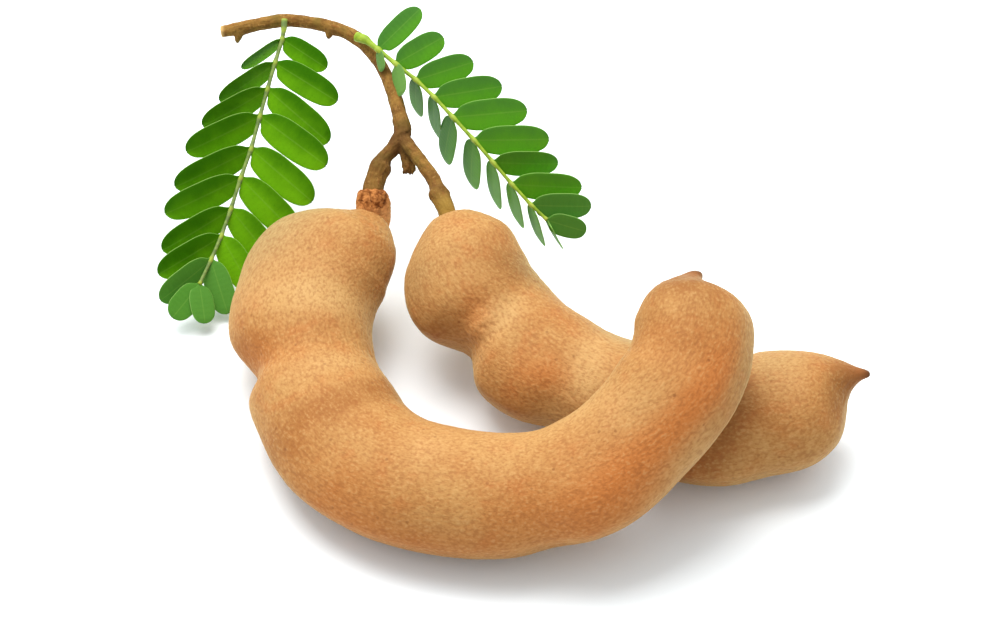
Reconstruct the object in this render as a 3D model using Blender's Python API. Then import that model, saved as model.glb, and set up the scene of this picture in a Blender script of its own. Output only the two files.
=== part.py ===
"""A picked tamarind sprig: two ripe pods on one forked twig, with two feather-shaped leaves.

The front pod lies in a wide bend and its free end rests on the rear pod. The twig rises from the
two stalks and arches over to the left, and a leaf hangs from it on either side. Everything is in
millimetres until it is scaled to metres, +Z is up, and the sprig lies on the plane z = 0.
"""

import math

import bmesh
import bpy
from mathutils import Matrix, Vector

MM = 0.001

# ---- driving dimensions, in millimetres ----

# A pod is a loft through sections, from the stalk to the beak. Each row gives the section's middle
# (x, y, z), then how far it reaches to the outer side of the bend, to the inner side, and up and down.
FRONT_POD = [
    (-26.9, 21.6, 19.6, 2.6, 2.6, 2.6),
    (-27.9, 19.5, 18.6, 4.4, 5.2, 4.8),
    (-30.2, 16.6, 17.4, 8.4, 9.8, 7.6),
    (-34.6, 12.0, 15.2, 14.6, 12.5, 9.7),
    (-37.8, 4.0, 13.0, 14.8, 12.9, 10.3),
    (-38.4, -4.6, 11.4, 13.5, 12.4, 10.2),
    (-37.6, -12.5, 10.2, 9.7, 12.8, 9.4),
    (-36.8, -16.5, 9.9, 12.4, 12.8, 9.7),
    (-35.2, -21.6, 9.8, 12.6, 12.8, 9.9),
    (-30.2, -30.6, 9.6, 13.2, 13.4, 9.8),
    (-22.5, -37.4, 9.6, 12.8, 13.2, 9.6),
    (-12.0, -41.2, 9.8, 12.7, 12.8, 9.9),
    (-1.5, -42.8, 10.6, 12.2, 12.2, 9.9),
    (5.5, -43.3, 12.6, 10.7, 12.0, 9.6),
    (10.5, -43.1, 14.9, 12.0, 12.0, 9.6),
    (16.0, -41.4, 17.8, 11.4, 11.7, 9.6),
    (23.0, -38.0, 22.8, 10.5, 12.0, 9.5),
    (27.8, -33.6, 27.4, 10.6, 11.8, 9.4),
    (29.8, -29.9, 29.5, 11.3, 11.0, 9.3),
    (30.9, -26.2, 31.6, 9.7, 10.6, 9.2),
    (31.4, -21.6, 33.8, 9.5, 10.4, 8.6),
    (31.3, -18.4, 34.8, 6.6, 8.8, 7.0),
    (31.0, -16.4, 35.2, 3.8, 6.4, 4.6),
    (31.2, -14.4, 35.4, 1.6, 3.2, 2.2),
    (32.4, -12.4, 35.7, 0.8, 0.9, 0.9),
]
REAR_POD = [
    (-12.9, 15.8, 25.0, 2.0, 2.0, 2.0),
    (-12.3, 14.4, 23.4, 5.0, 6.2, 4.8),
    (-11.2, 12.0, 21.4, 8.5, 10.4, 7.8),
    (-9.4, 6.6, 18.4, 12.2, 12.4, 10.2),
    (-7.0, 1.4, 15.8, 13.0, 12.2, 10.4),
    (-2.6, -3.0, 13.6, 8.4, 10.9, 9.4),
    (1.6, -7.2, 12.0, 12.6, 11.4, 9.9),
    (6.8, -11.2, 10.8, 13.4, 12.0, 10.0),
    (12.0, -14.6, 10.2, 9.5, 11.2, 9.6),
    (20.5, -19.0, 9.3, 11.2, 12.4, 9.6),
    (30.0, -22.9, 9.2, 12.9, 12.8, 9.5),
    (37.0, -24.0, 9.5, 13.4, 13.3, 9.8),
    (43.5, -23.8, 10.0, 11.8, 13.0, 9.7),
    (49.0, -22.6, 11.0, 12.0, 13.2, 9.6),
    (53.4, -21.0, 12.8, 10.4, 10.8, 8.8),
    (56.4, -19.8, 14.4, 7.4, 7.2, 6.8),
    (59.4, -19.2, 15.9, 3.3, 3.6, 3.3),
    (61.8, -19.2, 16.5, 1.5, 1.7, 1.6),
    (64.4, -19.4, 16.7, 0.7, 0.7, 0.7),
]
POD_SIDES = 28
POD_STEPS = 3            # sections made between two rows
SEAM_RISE = 0.035        # how far the seam stands out at either edge, as a share of the half width
SEAM_WIDTH = 0.22        # radians

# The twig's rows give a point on its middle line and the radius there.
MAIN_STEM = [
    (-57.9, 60.0, 32.0, 1.25),
    (-54.2, 60.2, 32.6, 1.50),
    (-49.8, 61.0, 33.2, 1.45),
    (-45.3, 61.6, 33.5, 1.50),
    (-40.3, 60.8, 33.6, 1.40),
    (-36.4, 59.7, 33.4, 1.50),
    (-32.4, 57.9, 33.0, 1.50),
    (-29.2, 55.4, 32.2, 1.55),
    (-25.7, 50.7, 31.4, 1.60),
    (-23.4, 44.6, 30.0, 1.70),
    (-22.4, 38.4, 28.4, 1.80),
    (-22.0, 34.5, 27.0, 1.95),
    (-23.4, 31.4, 25.4, 1.70),
    (-25.8, 29.2, 23.9, 2.25),
    (-26.8, 26.8, 22.8, 1.90),
    (-27.2, 24.9, 22.0, 1.90),
]
REAR_STALK = [
    (-21.9, 34.2, 27.0, 1.60),
    (-20.2, 30.4, 26.9, 1.50),
    (-17.2, 26.0, 26.6, 1.45),
    (-15.4, 22.6, 26.1, 1.50),
    (-15.0, 21.6, 26.0, 2.00),
    (-14.5, 20.4, 25.9, 1.60),
    (-13.1, 16.3, 25.2, 1.45),
]
FORK_STUB = [
    (-21.4, 33.0, 26.6, 1.40),
    (-20.7, 30.4, 24.6, 1.00),
    (-20.4, 28.4, 23.2, 1.15),
]
LEFT_SPUR = [
    (-54.2, 60.0, 32.4, 1.20),
    (-54.6, 58.6, 31.0, 0.75),
    (-54.7, 58.1, 30.5, 0.35),
]
RIGHT_SPUR = [
    (-36.4, 59.5, 33.2, 1.20),
    (-36.6, 58.4, 32.1, 0.75),
    (-36.6, 58.0, 31.7, 0.35),
]
COLLAR = [
    (-27.2, 24.3, 21.7, 2.30),
    (-27.3, 23.8, 21.3, 2.95),
    (-27.2, 22.8, 20.6, 3.15),
    (-27.0, 21.9, 19.9, 2.80),
]
STEM_SIDES = 12
STEM_STEPS = 3

# A leaf stem's rows give a point on its middle line and the radius there. The first pair of leaflets
# grows from the third row, and there is a pair at every row after it.
LEFT_STEM = [
    (-45.3, 60.6, 34.8, 0.95),
    (-45.4, 58.8, 33.4, 0.80),
    (-45.7, 57.4, 32.2, 0.60),
    (-47.0, 53.0, 29.8, 0.52),
    (-48.4, 48.6, 26.8, 0.50),
    (-49.8, 44.2, 23.6, 0.50),
    (-51.4, 38.7, 20.0, 0.50),
    (-53.3, 33.8, 16.8, 0.50),
    (-55.1, 28.6, 13.4, 0.48),
    (-56.8, 23.7, 10.8, 0.46),
    (-58.6, 19.2, 8.8, 0.45),
    (-60.6, 14.2, 7.0, 0.42),
]
RIGHT_STEM = [
    (-30.9, 55.2, 35.0, 1.15),
    (-29.0, 53.8, 35.2, 1.00),
    (-26.6, 51.0, 34.8, 0.62),
    (-23.1, 47.4, 34.2, 0.55),
    (-19.1, 44.0, 33.0, 0.52),
    (-15.6, 40.6, 31.6, 0.50),
    (-12.0, 36.8, 29.8, 0.50),
    (-7.9, 32.6, 27.6, 0.50),
    (-4.3, 29.0, 25.2, 0.48),
    (-0.7, 25.4, 22.8, 0.46),
    (3.0, 22.1, 20.4, 0.45),
    (6.0, 19.9, 18.6, 0.42),
]
LEAF_FACE = Vector((0, -1, 1))      # both leaves turn their upper sides this way

# A leaflet's row: sweep from the leaf stem, droop away from the leaf's face, twist about its own
# length (degrees), then length and width. The rows run from the twig to the tip of the leaf.
LEFT_LEAF_LEFT = [
    (38, 5, 74, 9.9, 4.2),
    (38, 5, 60, 13.2, 5.5),
    (44, 5, 48, 14.6, 5.9),
    (49, 5, 38, 16.0, 6.2),
    (46, 5, 40, 16.6, 6.2),
    (46, 5, 37, 16.3, 6.2),
    (40, 5, 40, 15.5, 6.1),
    (37, 5, 42, 14.2, 5.9),
    (26, 5, 40, 12.6, 5.4),
    (14, 5, 10, 8.4, 5.0),
]
LEFT_LEAF_RIGHT = [
    (71, 5, 14, 10.4, 4.5),
    (74, 5, 14, 14.3, 5.5),
    (64, 5, 14, 15.8, 6.1),
    (68, 5, 14, 16.1, 6.4),
    (66, 8, 14, 15.7, 6.4),
    (63, 12, 14, 15.4, 6.2),
    (58, 16, 14, 13.8, 5.9),
    (51, 16, 14, 12.0, 5.6),
    (40, 10, 14, 11.0, 5.2),
    (32, 5, -8, 7.8, 4.6),
]
RIGHT_LEAF_UPPER = [
    (84, 0, 24, 11.4, 4.5),
    (67, 0, 22, 10.6, 5.1),
    (57, 0, 22, 11.6, 5.3),
    (53, 0, 22, 13.3, 5.5),
    (51, 0, 20, 14.4, 5.8),
    (48, 0, 22, 14.4, 5.6),
    (48, 10, 42, 12.6, 5.5),
    (45, 5, 28, 13.4, 5.4),
    (44, 5, 26, 11.5, 5.1),
    (26, 5, 24, 7.8, 4.4),
]
RIGHT_LEAF_LOWER = [
    (58, 10, -40, 4.2, 2.8),
    (62, 25, -35, 6.2, 4.0),
    (74, 60, -32, 10.2, 4.8),
    (71, 65, -42, 12.6, 5.0),
    (78, 59, -22, 14.2, 5.6),
    (63, 60, -32, 14.6, 5.8),
    (49, 61, -50, 14.2, 5.6),
    (41, 60, -56, 13.3, 5.4),
    (35, 53, -66, 11.4, 5.0),
    (22, 48, -82, 8.2, 4.2),
]

# The outline of a leaflet one unit long and one unit wide. Each row gives how far along its near edge,
# its midrib and its far edge stand, and how far the two edges stand out from the midrib.
LEAFLET_OUTLINE = [
    (-0.03, -0.03, -0.03, 0.07, 0.07),
    (0.04, 0.04, 0.02, 0.12, 0.20),
    (0.11, 0.12, 0.05, 0.32, 0.43),
    (0.27, 0.28, 0.22, 0.46, 0.53),
    (0.50, 0.50, 0.46, 0.50, 0.53),
    (0.72, 0.72, 0.70, 0.49, 0.49),
    (0.88, 0.88, 0.87, 0.40, 0.41),
    (0.965, 0.965, 0.96, 0.24, 0.25),
    (1.0, 0.985, 1.0, 0.08, 0.08),
]
LEAFLET_THICK = 0.7
LEAFLET_CUP = 0.06       # how far the midrib lies below the edges, as a share of the width
LEAFLET_BEND = 0.05      # how far the tip bends back from the leaf's face, as a share of the length
LEAF_STEM_SIDES = 8

NODE_GAP = 0.3           # left between pieces that touch


def smooth_rows(rows, steps):
    """Rows read from a centripetal Catmull-Rom curve through the given ones, steps to a span."""
    def knots(a, b, c, d):
        t = [0.0]
        for p, q in ((a, b), (b, c), (c, d)):
            t.append(t[-1] + max(math.sqrt((Vector(q[:3]) - Vector(p[:3])).length), 1e-6))
        return t

    def mirrored(near, far):
        return tuple(2 * n - f for n, f in zip(near, far))

    padded = [mirrored(rows[0], rows[1]), *rows, mirrored(rows[-1], rows[-2])]
    made = []
    for a, b, c, d in zip(padded, padded[1:], padded[2:], padded[3:]):
        t0, t1, t2, t3 = knots(a, b, c, d)
        for step in range(steps):
            t = t1 + (t2 - t1) * step / steps
            row = []
            for pa, pb, pc, pd in zip(a, b, c, d):
                ab = pa + (pb - pa) * (t - t0) / (t1 - t0)
                bc = pb + (pc - pb) * (t - t1) / (t2 - t1)
                cd = pc + (pd - pc) * (t - t2) / (t3 - t2)
                abc = ab + (bc - ab) * (t - t0) / (t2 - t0)
                bcd = bc + (cd - bc) * (t - t1) / (t3 - t1)
                row.append(abc + (bcd - abc) * (t - t1) / (t2 - t1))
            made.append(tuple(row))
    made.append(tuple(rows[-1]))
    return made


def frames(rows, up=Vector((0, 0, 1))):
    """For each row: its middle, the side direction (to the right of travel) and the upward one."""
    points = [Vector(row[:3]) for row in rows]
    made = []
    for i, point in enumerate(points):
        along = points[min(i + 1, len(points) - 1)] - points[max(i - 1, 0)]
        along.normalize()
        side = along.cross(up).normalized()
        made.append((point, side, side.cross(along)))
    return made


def add_loft(bm, rings):
    """Skins a list of rings of points, and closes both ends."""
    loops = [[bm.verts.new(point) for point in ring] for ring in rings]
    for near, far in zip(loops, loops[1:]):
        for i in range(len(near)):
            j = (i + 1) % len(near)
            bm.faces.new((near[i], near[j], far[j], far[i]))
    bm.faces.new(loops[0])
    bm.faces.new(list(reversed(loops[-1])))
    bmesh.ops.recalc_face_normals(bm, faces=bm.faces)


def material(name, colour, roughness):
    made = bpy.data.materials.new(name)
    made.use_nodes = True
    shader = made.node_tree.nodes["Principled BSDF"]
    shader.inputs["Base Color"].default_value = (*colour, 1)
    shader.inputs["Roughness"].default_value = roughness
    shader.inputs["Metallic"].default_value = 0
    return made


def add_object(name, bm, finish):
    bmesh.ops.scale(bm, vec=(MM, MM, MM), verts=bm.verts)
    mesh = bpy.data.meshes.new(name)
    bm.to_mesh(mesh)
    bm.free()
    mesh.shade_smooth()
    mesh.materials.append(finish)
    made = bpy.data.objects.new(name, mesh)
    bpy.context.scene.collection.objects.link(made)
    return made


def pod_ring(middle, side, up, outer, inner, thick, extra):
    ring = []
    for i in range(POD_SIDES):
        turn = 2 * math.pi * i / POD_SIDES
        reach = outer if math.cos(turn) > 0 else inner
        off_edge = min(abs(turn - edge) for edge in (0, math.pi, 2 * math.pi))
        seam = 1 + SEAM_RISE * math.exp(-(off_edge / SEAM_WIDTH) ** 2)
        level = (reach * seam + extra) * math.cos(turn)
        ring.append(middle + side * level + up * ((thick + extra) * math.sin(turn)))
    return ring


def add_pod(name, rows, finish, extra=0.0):
    """One closed pod, with a flat spot wherever it would reach below the ground."""
    bm = bmesh.new()
    rows = smooth_rows(rows, POD_STEPS)
    rings = [pod_ring(*frame, *row[3:], extra) for frame, row in zip(frames(rows), rows)]
    if extra:
        back = (Vector(rows[0][:3]) - Vector(rows[1][:3])).normalized() * extra
        rings.insert(0, [point + back for point in rings[0]])
    add_loft(bm, rings)
    everything = bm.verts[:] + bm.edges[:] + bm.faces[:]
    cut = bmesh.ops.bisect_plane(bm, geom=everything, plane_co=(0, 0, 0), plane_no=(0, 0, 1),
                                 clear_inner=True)
    edges = [part for part in cut["geom_cut"] if isinstance(part, bmesh.types.BMEdge)]
    if edges:
        bmesh.ops.holes_fill(bm, edges=edges)
    bmesh.ops.recalc_face_normals(bm, faces=bm.faces)
    return add_object(name, bm, finish)


def add_stem(name, rows, finish, sides=STEM_SIDES, steps=STEM_STEPS, extra=0.0):
    """A round stem along its rows, with an extra thickness all round if asked."""
    bm = bmesh.new()
    rows = smooth_rows(rows, steps)
    turns = [2 * math.pi * i / sides for i in range(sides)]
    rings = []
    for (middle, side, up), row in zip(frames(rows), rows):
        reach = row[3] + extra
        rings.append([middle + (side * math.cos(a) + up * math.sin(a)) * reach for a in turns])
    add_loft(bm, rings)
    return add_object(name, bm, finish)


def add_leaflet(name, root, along, side, face, row, finish):
    """A leaflet blade from its root, split into the same triangles on both faces."""
    sweep, droop, twist = (math.radians(angle) for angle in row[:3])
    length, width = row[3:]
    flat = along * math.cos(sweep) + side * math.sin(sweep)
    axis = flat * math.cos(droop) - face * math.sin(droop)
    across = side * math.cos(sweep) - along * math.sin(sweep)
    normal = axis.cross(across)
    if normal.dot(face) < 0:
        normal.negate()
    near = across * math.cos(twist) + normal * math.sin(twist)
    normal = normal * math.cos(twist) - across * math.sin(twist)

    def place(x, y, lift):
        bend = -LEAFLET_BEND * length * x * abs(x)
        cup = LEAFLET_CUP * width * abs(y) * 2
        return root + axis * (x * length) + near * (y * width) + normal * (bend + cup + lift)

    bm = bmesh.new()
    faces = []
    for lift in (LEAFLET_THICK / 2, -LEAFLET_THICK / 2):
        faces.append([[bm.verts.new(place(*spot, lift)) for spot in
                       ((near_x, near_y), (mid_x, 0.0), (far_x, -far_y))]
                      for near_x, mid_x, far_x, near_y, far_y in LEAFLET_OUTLINE])
    top, bottom = faces
    for sheet in faces:
        for low, high in zip(sheet, sheet[1:]):
            for i in (0, 1):
                bm.faces.new((low[i], low[i + 1], high[i + 1]))
                bm.faces.new((low[i], high[i + 1], high[i]))
    rim = [(i, 0) for i in range(len(top))] + [(len(top) - 1, 1)]
    rim += [(i, 2) for i in reversed(range(len(top)))] + [(0, 1)]
    for (i, j), (k, m) in zip(rim, rim[1:] + rim[:1]):
        bm.faces.new((top[i][j], top[k][m], bottom[k][m], bottom[i][j]))
    bmesh.ops.recalc_face_normals(bm, faces=bm.faces)
    return add_object(name, bm, finish)


def add_leaf(name, stem_rows, left_rows, right_rows, finish):
    """A leaf stem with a pair of leaflets at each row from the third on, fused into one blade."""
    pieces = [add_stem(name + "_stem", stem_rows, finish, LEAF_STEM_SIDES, 2)]
    for i in range(len(left_rows)):
        at = i + 2
        root = Vector(stem_rows[at][:3])
        along = Vector(stem_rows[min(at + 1, len(stem_rows) - 1)][:3]) - Vector(stem_rows[at - 1][:3])
        along.normalize()
        face = (LEAF_FACE - along * LEAF_FACE.dot(along)).normalized()
        side = face.cross(along)
        for turn, row in ((-1, left_rows[i]), (1, right_rows[i])):
            pieces.append(add_leaflet(f"{name}_{i}_{turn}", root, along, side * turn, face, row, finish))
    return fuse(name, pieces)


def clear_of(piece, cutter):
    """Cuts away whatever of the piece reaches into the cutter, and removes the cutter."""
    cut = piece.modifiers.new("Clearance", "BOOLEAN")
    cut.operation = "DIFFERENCE"
    cut.object = cutter
    cut.solver = "EXACT"
    apply_modifiers(piece)
    bpy.data.objects.remove(cutter)


def apply_modifiers(piece):
    graph = bpy.context.evaluated_depsgraph_get()
    mesh = bpy.data.meshes.new_from_object(piece.evaluated_get(graph))
    piece.modifiers.clear()
    piece.data = mesh


def fuse(name, pieces):
    """Joins overlapping solids into one, and removes the pieces."""
    group = bpy.data.collections.new(name + "_pieces")
    first, *others = pieces
    for piece in others:
        group.objects.link(piece)
    union = first.modifiers.new("Union", "BOOLEAN")
    union.operation = "UNION"
    union.operand_type = "COLLECTION"
    union.collection = group
    union.solver = "EXACT"
    apply_modifiers(first)
    first.name = name
    for piece in others:
        bpy.data.objects.remove(piece)
    bpy.data.collections.remove(group)
    return first


for leftover in list(bpy.data.objects):
    bpy.data.objects.remove(leftover)

pod_skin = material("pod_skin", (0.62, 0.33, 0.13), 0.75)
bark = material("bark", (0.30, 0.17, 0.07), 0.85)
calyx = material("calyx", (0.36, 0.15, 0.07), 0.8)
leaf_green = material("leaf_green", (0.10, 0.28, 0.03), 0.6)

add_pod("front_pod", FRONT_POD, pod_skin)
add_pod("rear_pod", REAR_POD, pod_skin)
twig = fuse("twig", [add_stem("main_stem", MAIN_STEM, bark), add_stem("rear_stalk", REAR_STALK, bark),
              add_stem("fork_stub", FORK_STUB, bark), add_stem("left_spur", LEFT_SPUR, bark),
              add_stem("right_spur", RIGHT_SPUR, bark)])
collar = add_stem("front_collar", COLLAR, calyx)
clear_of(twig, add_pod("clearance", REAR_POD, pod_skin, NODE_GAP))
clear_of(collar, add_pod("clearance", FRONT_POD, pod_skin, NODE_GAP))
left_leaf = add_leaf("left_leaf", LEFT_STEM, LEFT_LEAF_LEFT, LEFT_LEAF_RIGHT, leaf_green)
right_leaf = add_leaf("right_leaf", RIGHT_STEM, RIGHT_LEAF_LOWER, RIGHT_LEAF_UPPER, leaf_green)
for leaf in (left_leaf, right_leaf):
    clear_of(leaf, add_stem("clearance", MAIN_STEM, bark, extra=NODE_GAP))

# The sprig's middle is set over the origin.
everything = [piece for piece in bpy.data.objects if piece.type == "MESH"]
corners = [vert.co for piece in everything for vert in piece.data.vertices]
middle = [(min(c[i] for c in corners) + max(c[i] for c in corners)) / 2 for i in (0, 1)]
for piece in everything:
    piece.data.transform(Matrix.Translation((-middle[0], -middle[1], 0)))
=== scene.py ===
"""A picked tamarind sprig: two ripe pods on one forked twig, with two feather-shaped leaves."""

import math
import random
from itertools import accumulate

import bmesh
import bpy
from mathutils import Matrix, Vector, kdtree, noise


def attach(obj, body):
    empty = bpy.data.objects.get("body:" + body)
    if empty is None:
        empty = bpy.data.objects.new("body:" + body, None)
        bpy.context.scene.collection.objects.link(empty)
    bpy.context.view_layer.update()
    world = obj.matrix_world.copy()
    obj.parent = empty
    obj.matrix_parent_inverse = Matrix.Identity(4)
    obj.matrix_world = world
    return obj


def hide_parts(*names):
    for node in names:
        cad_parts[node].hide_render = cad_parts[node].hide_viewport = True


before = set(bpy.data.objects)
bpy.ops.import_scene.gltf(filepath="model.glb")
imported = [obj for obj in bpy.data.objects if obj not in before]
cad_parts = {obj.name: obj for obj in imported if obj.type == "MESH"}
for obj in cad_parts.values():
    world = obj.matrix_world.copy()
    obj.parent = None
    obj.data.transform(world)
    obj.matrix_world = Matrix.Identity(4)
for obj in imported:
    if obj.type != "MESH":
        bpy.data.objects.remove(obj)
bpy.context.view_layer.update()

# ---- Front pod ----
# The larger pod lies in a wide hook, and its free end climbs over the rear pod. It is a brittle,
# velvety shell, drawn tight over the seeds between its waists. A collar holds it to the twig.

MM = 0.001
HOME = Vector((2.326, -3.872, 0))       # from where the rows are counted to the frame's origin (mm)

# Each row: the section's middle (x, y, z), then how far it reaches to the outer side of the bend, to
# the inner side, and up and down. The rows run from the stalk to the beak.
FRONT_POD = [
    (-26.9, 21.6, 19.1, 2.2, 2.2, 2.0),
    (-27.9, 19.5, 18.3, 4.3, 5.5, 3.7),
    (-30.2, 16.6, 17.4, 8.4, 9.8, 7.5),
    (-34.6, 12.0, 15.2, 14.6, 12.2, 9.7),
    (-37.8, 4.0, 13.0, 14.8, 11.8, 10.3),
    (-38.4, -4.6, 11.4, 14.4, 11.4, 10.2),
    (-37.6, -12.5, 10.2, 10.0, 12.1, 9.4),
    (-36.8, -16.5, 9.9, 12.2, 12.8, 9.7),
    (-35.2, -21.6, 9.8, 12.3, 13.5, 9.9),
    (-30.2, -30.6, 9.6, 13.2, 13.4, 9.8),
    (-22.5, -37.4, 9.6, 12.8, 13.2, 9.6),
    (-12.0, -41.2, 9.8, 12.7, 12.8, 9.9),
    (-1.5, -42.8, 10.6, 12.2, 12.2, 9.9),
    (5.5, -43.3, 12.6, 10.9, 12.0, 9.6),
    (10.5, -43.1, 14.9, 12.1, 12.0, 9.6),
    (16.0, -41.4, 17.8, 12.0, 11.7, 9.6),
    (23.0, -38.0, 22.8, 10.5, 12.0, 9.5),
    (27.8, -33.6, 27.4, 10.6, 11.8, 9.4),
    (29.8, -29.9, 29.5, 10.6, 11.0, 9.3),
    (30.9, -26.2, 31.6, 10.3, 10.6, 9.2),
    (31.4, -21.6, 33.8, 9.5, 10.4, 8.6),
    (31.3, -18.4, 34.8, 6.6, 8.8, 7.0),
    (31.0, -16.4, 35.2, 3.8, 6.4, 4.6),
    (31.2, -14.4, 35.7, 1.7, 3.3, 2.2),
    (32.5, -12.3, 36.1, 0.9, 1.0, 1.0),
]
# Pale and warm zones of the skin, partly its own colour and partly painted light, shade and sheen:
# how far along the pod (mm) and how wide, the angle round the pod (0 at the outer edge, 90 on top)
# and how wide (degrees), then how pale (below 0: how dull) and how warm (below 0: how olive-tan).
# The dull zones on the undersides and in the other pod's shadow are painted shade, some pale ones
# are painted light, and the olive-tan ones along the edges seen edge-on are a painted sheen.
FRONT_ZONES = [
    (14, 8, 15, 50, 0.35, 0),
    (19, 7, 100, 50, 0.35, 0),
    (25, 8, 180, 30, 0.6, 0),
    (26, 6, 20, 45, 0.3, 0),
    (28, 5, 110, 60, 0.8, 0),
    (36, 6, 10, 45, -0.8, 0.5),
    (37, 6, 60, 60, 0, 0.2),
    (46, 5, 110, 70, 0.7, 0),
    (55, 6, 60, 80, -0.7, 0.3),
    (52, 7, 160, 40, -0.9, 0.3),
    (66, 8, 10, 50, -0.1, 0.5),
    (75, 7, 95, 30, 0.5, 0),
    (78, 10, -5, 30, -0.4, 0.4),
    (88, 10, 125, 40, 0.45, 0),
    (100, 16, 20, 45, 0, 0.55),
    (112, 9, 40, 40, 0, 0.5),
    (110, 14, 150, 45, 0.6, 0),
    (116, 10, 0, 30, 0.5, 0),
    # Painted light on the climbing arm.
    (118, 12, 70, 80, 0.35, 0),
    (124, 7, 50, 60, 0.4, 0.1),
    # Painted sheen along the shoulder's edge, seen edge-on.
    (12, 12, 40, 45, 0, -0.8),
    (134, 8, 110, 60, -0.5, 0.4),
    # Painted sheen along the arm's outer edge.
    (133, 9, 0, 30, -0.3, -0.4),
    (128, 12, 45, 25, -0.2, 0.7),
    (147, 5, 90, 90, -0.8, 0.1),
    # Painted shade along the underside of the bend.
    (80, 40, -40, 25, -0.9, 0.2),
]


def clamp(value, low=0.0, high=1.0):
    return max(low, min(high, value))


def smooth_rows(rows, gap):
    """Rows an even gap apart along a centripetal Catmull-Rom curve through the given ones, and the
    length of that curve."""
    steps = 16                          # from one given row to the next, before the gaps are evened
    ends = [[2 * end - next_one for end, next_one in zip(*pair)] for pair in (rows[:2], rows[:-3:-1])]
    padded = [ends[0], *rows, ends[1]]
    fine = []
    for a, b, c, d in zip(padded, padded[1:], padded[2:], padded[3:]):
        spans = [math.sqrt(max(math.dist(p[:3], q[:3]), 1e-9)) for p, q in ((a, b), (b, c), (c, d))]
        t0, t1, t2, t3 = accumulate([0, *spans])
        for step in range(steps):
            t = t1 + (t2 - t1) * step / steps
            row = []
            for pa, pb, pc, pd in zip(a, b, c, d):
                ab = pa + (pb - pa) * (t - t0) / (t1 - t0)
                bc = pb + (pc - pb) * (t - t1) / (t2 - t1)
                cd = pc + (pd - pc) * (t - t2) / (t3 - t2)
                abc = ab + (bc - ab) * (t - t0) / (t2 - t0)
                bcd = bc + (cd - bc) * (t - t1) / (t3 - t1)
                row.append(abc + (bcd - abc) * (t - t1) / (t2 - t1))
            fine.append(row)
    fine.append(list(rows[-1]))
    runs = list(accumulate((math.dist(p[:3], q[:3]) for p, q in zip(fine, fine[1:])), initial=0.0))
    length = runs[-1]
    count = max(2, round(length / gap))
    made, k = [], 0
    for i in range(count + 1):
        run = length * i / count
        while k < len(runs) - 2 and runs[k + 1] < run:
            k += 1
        part = (run - runs[k]) / max(runs[k + 1] - runs[k], 1e-9)
        made.append([p + (q - p) * part for p, q in zip(fine[k], fine[k + 1])])
    return made, length


def frames(rows, window=1):
    """For each row: its middle, the side direction (to the right of travel) and the upward one. The
    direction of travel is read from as many rows to either side as the window says."""
    points = [Vector(row[:3]) for row in rows]
    made = []
    for i, point in enumerate(points):
        along = (points[min(i + window, len(points) - 1)] - points[max(i - window, 0)]).normalized()
        side = along.cross(Vector((0, 0, 1))).normalized()
        made.append((point, side, side.cross(along)))
    return made


def placed(point):
    """A point or a row, in mm, as its place in the frame, in metres."""
    return (Vector(point[:3]) + HOME) * MM


# What each vertex of a piece knows. Its grain is where it lies on the piece pulled straight: along,
# across and up, in mm. Its tone is three values that the colours go by, one for each axis.
LAYERS = ("grain", "tone")


def with_layers(bm):
    """Gives a bmesh the layers that it lacks."""
    for name in LAYERS:
        if bm.verts.layers.float_vector.get(name) is None:
            bm.verts.layers.float_vector.new(name)
    return bm


def layers_of(bm):
    """The layers of a bmesh, in the order above."""
    return [bm.verts.layers.float_vector[name] for name in LAYERS]


def add_shell(bm, along, around, spot, material=0):
    """Bends a grid into a closed shell: spot(i, j) gives a point in mm, its grain and its tone."""
    old = set(bm.verts)
    bmesh.ops.create_grid(bm, x_segments=along, y_segments=around, size=0.5)
    new = [vert for vert in bm.verts if vert not in old]
    grain_layer, tone_layer = layers_of(bm)
    for vert in new:
        i, j = round((vert.co.x + 0.5) * along), round((vert.co.y + 0.5) * around)
        point, vert[grain_layer], vert[tone_layer] = spot(i, j)
        vert.co = placed(point)
    faces = {face for vert in new for face in vert.link_faces}
    for face in faces:
        face.material_index = material
        face.smooth = True
    bmesh.ops.remove_doubles(bm, verts=new, dist=1e-7)


def eased(bm, times):
    """Smooths a shell a few times over."""
    for _ in range(times):
        bmesh.ops.smooth_vert(bm, verts=bm.verts, factor=0.5, use_axis_x=True, use_axis_y=True,
                              use_axis_z=True)


def ripple(grain, size, shift=Vector()):
    """Noise in grains that are size mm long, wide and high."""
    return noise.noise(Vector([way / mm for way, mm in zip(grain, size)]) + shift)


def add_piece(name, bm, node, slot, *materials):
    """Finishes a piece: it rides with the sprig and stands for its solid."""
    bmesh.ops.recalc_face_normals(bm, faces=bm.faces)
    mesh = bpy.data.meshes.new(name)
    bm.to_mesh(mesh)
    bm.free()
    for material in materials:
        mesh.materials.append(material)
    piece = bpy.data.objects.new(name, mesh)
    bpy.context.scene.collection.objects.link(piece)
    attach(piece, "root")
    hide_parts(node)


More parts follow.
